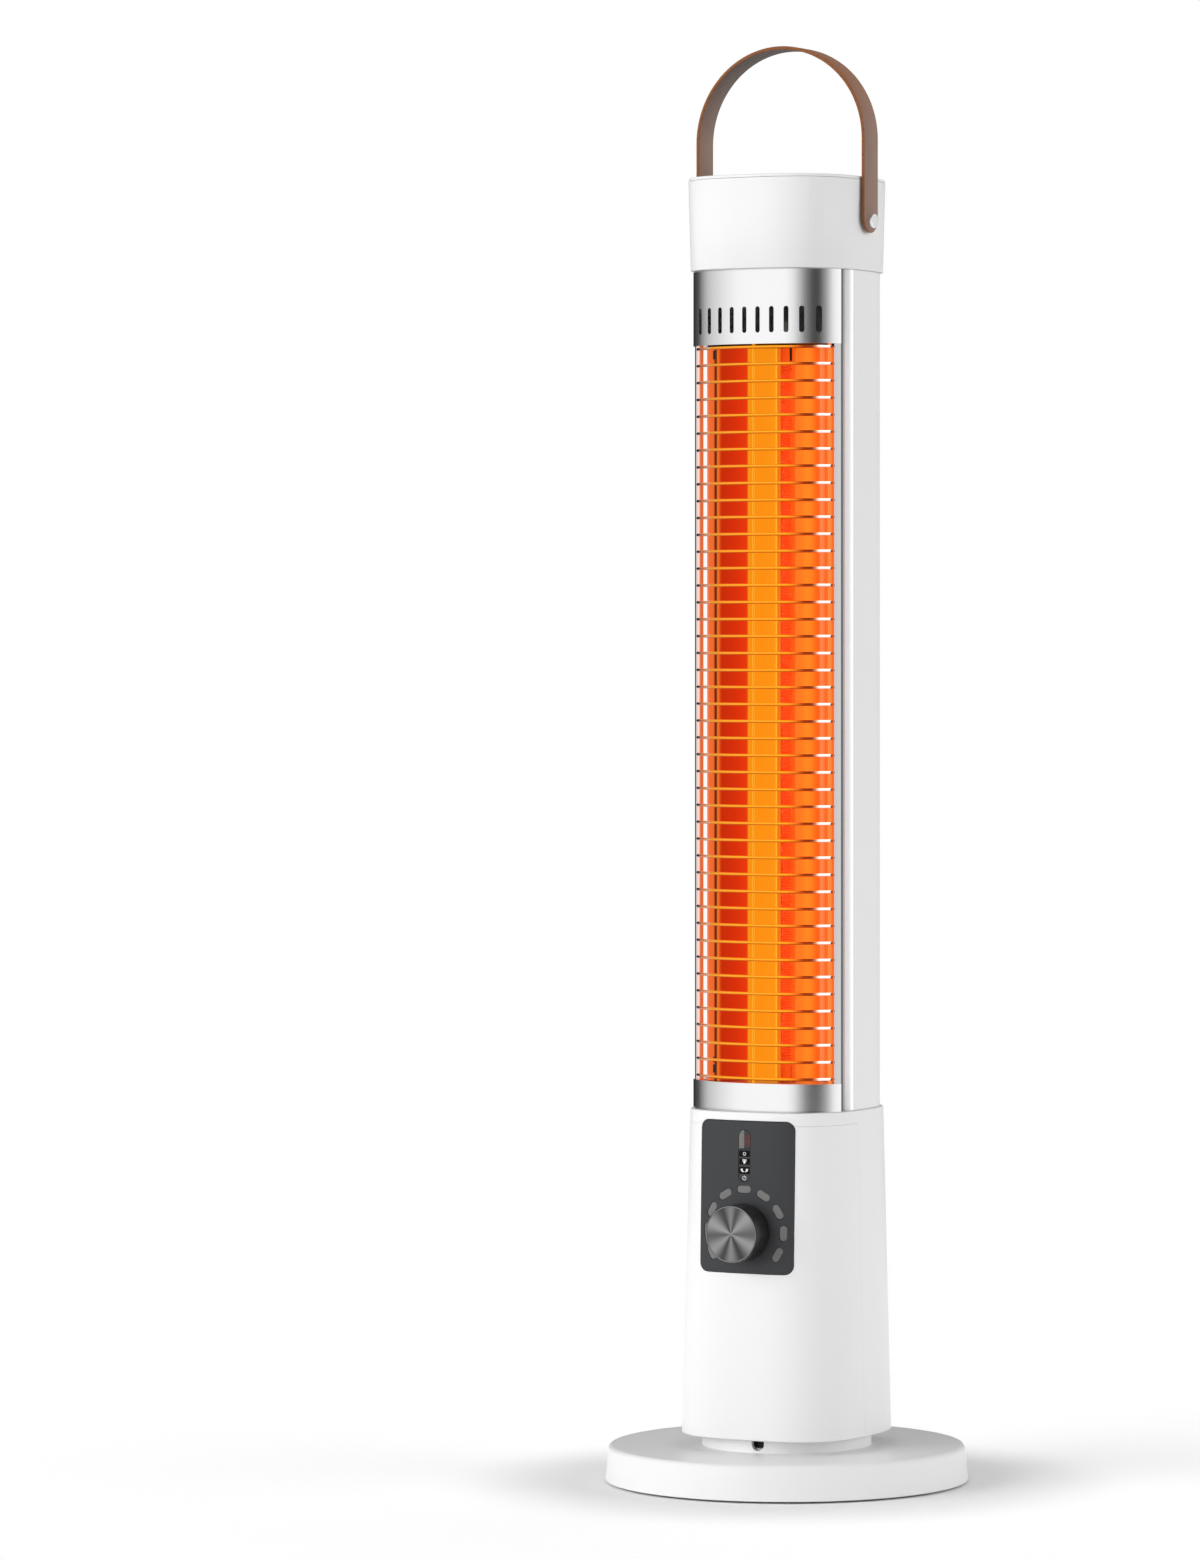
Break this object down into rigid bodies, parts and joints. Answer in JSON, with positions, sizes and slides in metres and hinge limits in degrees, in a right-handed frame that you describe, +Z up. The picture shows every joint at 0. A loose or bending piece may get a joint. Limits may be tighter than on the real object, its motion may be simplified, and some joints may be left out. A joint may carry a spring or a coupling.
{
  "type": "electric patio heater",
  "caption": "Freestanding tower patio heater: a quartz lamp before a faceted reflector behind a curved wire guard, on a swinging column with a round base, a turning knob and a strap handle.",
  "frame": {"origin": "centre of the base disc on the floor, under the column's swing axis", "axes": "+Z up along the column, -Y towards the front with the control knob and the lamp, +X to the object's left side as seen from behind"},
  "size_m": [0.24, 0.24, 0.9479],
  "materials": {
    "white_plastic": "satin",
    "white_steel": "satin powder coat",
    "brushed_band": "brushed",
    "plain_steel": "zinc plated",
    "guard_steel": "bright",
    "mirror_sheet": "polished",
    "ballast_iron": "dark paint",
    "foot_rubber": "matt",
    "black_plastic": "matt",
    "natural_plastic": "satin",
    "panel_plastic": "fine matt",
    "window_plastic": "clear grey",
    "receiver_plastic": "dark red gloss",
    "icon_plastic": "black gloss",
    "knob_metal": "dark anodised",
    "knob_face_metal": "spun",
    "board_laminate": "lacquer",
    "quartz": "clear",
    "heating_wire": "glowing",
    "ceramic_end": "unglazed",
    "strap_leather": "vegetable tanned",
    "rivet_metal": "satin"
  },
  "bodies": {
    "base": {"base_cover": "white_plastic", "base_plate": "plain_steel", "ballast_weight": "ballast_iron", "rubber_feet": "foot_rubber", "base_screws": "plain_steel", "cord_gland": "black_plastic", "pivot_post": "plain_steel", "post_screws": "plain_steel", "swivel_collar": "white_plastic", "glide_ring": "black_plastic", "swing_gear": "natural_plastic", "retaining_nut": "plain_steel"},
    "column": {"turntable": "white_plastic", "turntable_screws": "plain_steel", "lower_rear_shell": "white_plastic", "lower_front_shell": "white_plastic", "shell_screws": "plain_steel", "motor_bracket": "plain_steel", "swing_motor": "plain_steel", "control_panel": "panel_plastic", "level_windows": "window_plastic", "receiver_window": "receiver_plastic", "icon_window": "icon_plastic", "control_board": "board_laminate", "encoder_housing": "plain_steel", "power_board": "board_laminate", "relays": "black_plastic", "tilt_switch": "white_plastic", "column_floor": "plain_steel", "floor_screws": "plain_steel", "rear_housing": "white_steel", "side_rails": "brushed_band", "bottom_band": "brushed_band", "top_band": "brushed_band", "lower_deck": "plain_steel", "upper_deck": "plain_steel", "reflector": "mirror_sheet", "reflector_brackets": "plain_steel", "quartz_tube": "quartz", "heating_coil": "heating_wire", "coil_leads": "plain_steel", "lamp_ends": "ceramic_end", "lamp_clips": "plain_steel", "thermal_cutout": "ceramic_end", "guard_wires": "guard_steel", "guard_stays": "guard_steel", "top_deck": "plain_steel", "cap_shell": "white_plastic", "cap_screws": "plain_steel", "cap_lid": "white_plastic", "rivets": "rivet_metal", "rivet_plates": "plain_steel", "strap_washers": "black_plastic"},
    "pinion": {"motor_shaft": "plain_steel", "motor_pinion": "natural_plastic"},
    "encoder": {"encoder_sleeve": "plain_steel"},
    "knob": {"knob_shaft": "plain_steel", "knob_body": "knob_metal", "knob_face": "knob_face_metal"},
    "handle": {"strap_handle": "strap_leather"}
  },
  "joints": [
    {"name": "column_swing", "type": "hinge", "parent": "base", "child": "column", "pos_m": [0, 0, 0.0346], "axis": [0, 0, 1], "range_deg": [-45, 45]},
    {"name": "pinion_spin", "type": "hinge", "parent": "column", "child": "pinion", "pos_m": [0, 0.0301, 0.044], "axis": [0, 0, 1], "range_deg": [-185, 185]},
    {"name": "knob_turn", "type": "hinge", "parent": "column", "child": "encoder", "pos_m": [0, -0.06, 0.1691], "axis": [0, -1, 0], "continuous": true},
    {"name": "knob_push", "type": "slide", "parent": "encoder", "child": "knob", "axis": [0, 1, 0], "range_m": [0, 0.001], "stiffness_N_per_m": 2000, "springref_m": -0.0005},
    {"name": "handle_swing", "type": "hinge", "parent": "column", "child": "handle", "pos_m": [0, 0, 0.8312], "axis": [1, 0, 0], "range_deg": [-140, 140]}
  ],
  "couplings": [
    {"joint": "pinion_spin", "follows": "column_swing", "ratio": 4}
  ]
}
